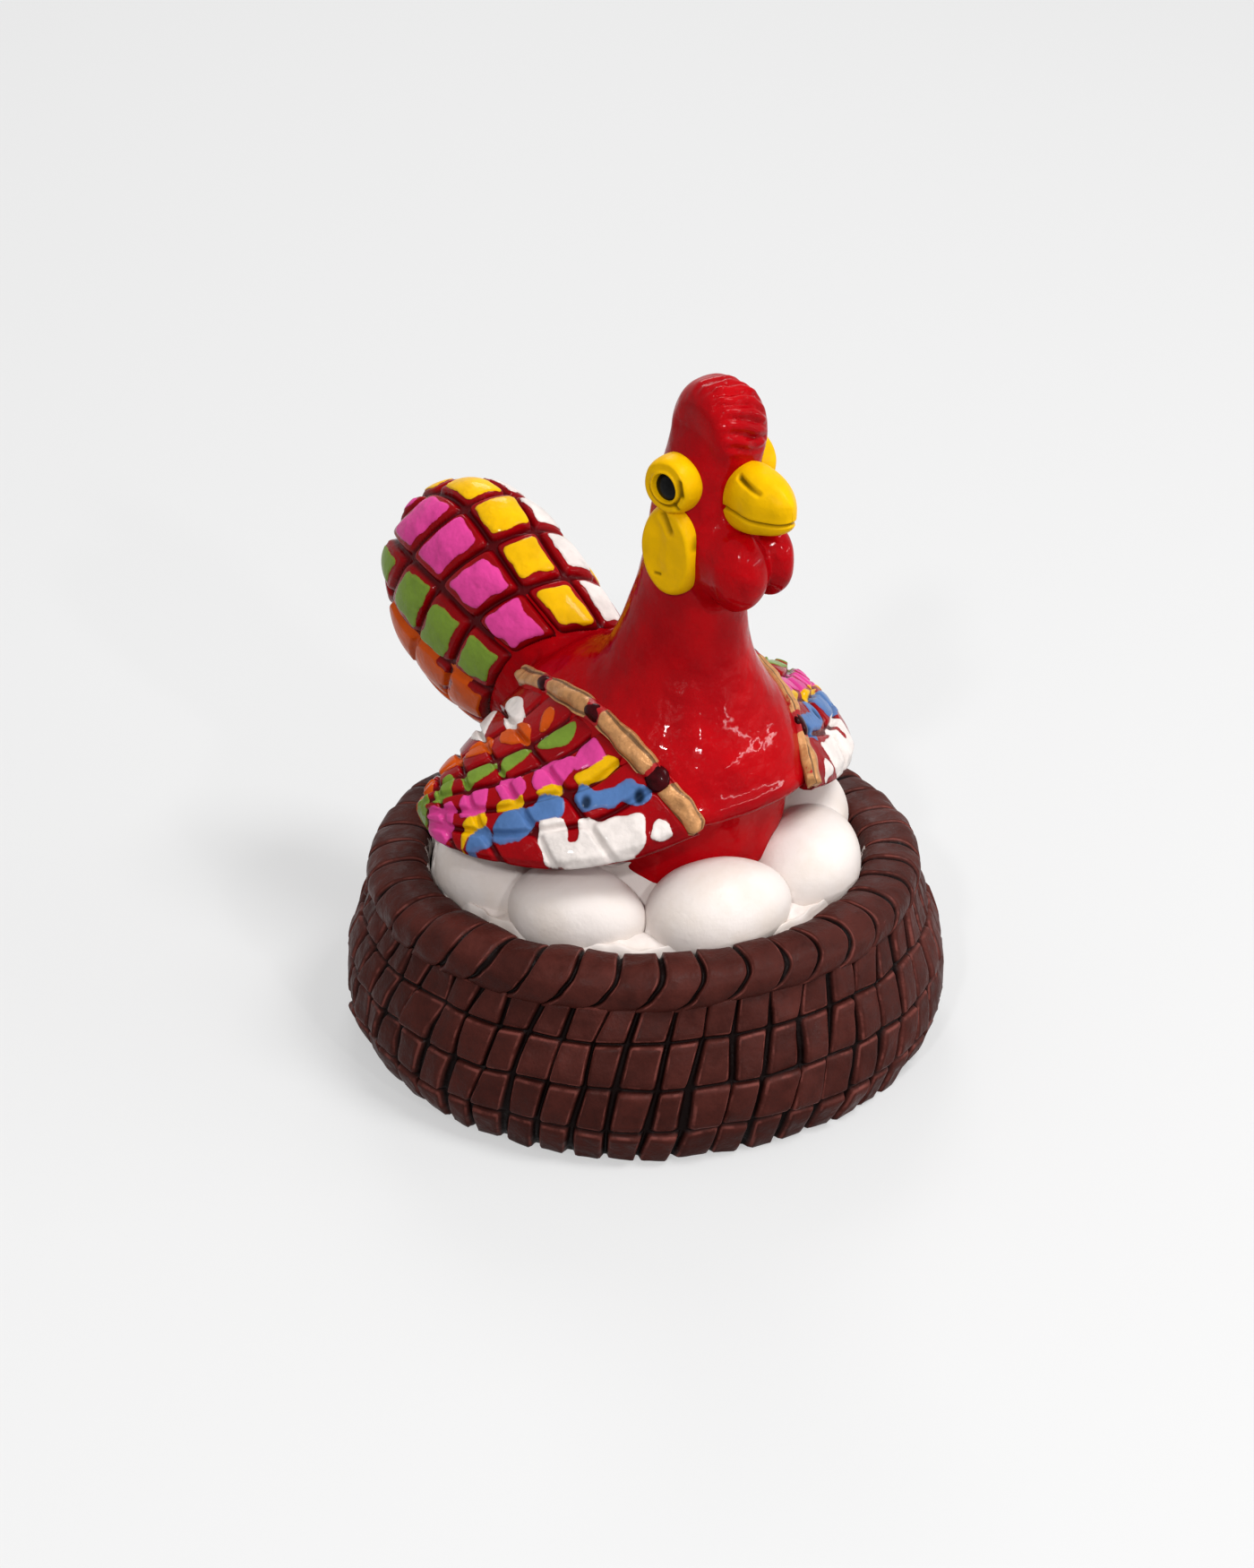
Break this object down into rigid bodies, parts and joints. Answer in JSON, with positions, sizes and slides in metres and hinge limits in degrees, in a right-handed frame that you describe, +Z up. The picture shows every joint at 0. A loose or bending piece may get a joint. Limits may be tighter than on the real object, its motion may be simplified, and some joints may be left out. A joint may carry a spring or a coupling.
{
  "type": "hen figurine",
  "caption": "Painted figurine of a hen that broods on a ring of eggs in a round stitched nest.",
  "frame": {"origin": "middle of the nest's flat base", "axes": "+Z up, the hen faces -Y, its right wing at -X"},
  "size_m": [0.06, 0.0674, 0.0713],
  "materials": {
    "hen_figurine": "cast resin painted by hand: gloss red hen with thick matt-satin feather patches in yellow, pink, green, orange, blue and white, gold bands, off-white eggs and a satin dark brown nest"
  },
  "bodies": {
    "root": {"hen_figurine": "hen_figurine"}
  },
  "joints": []
}
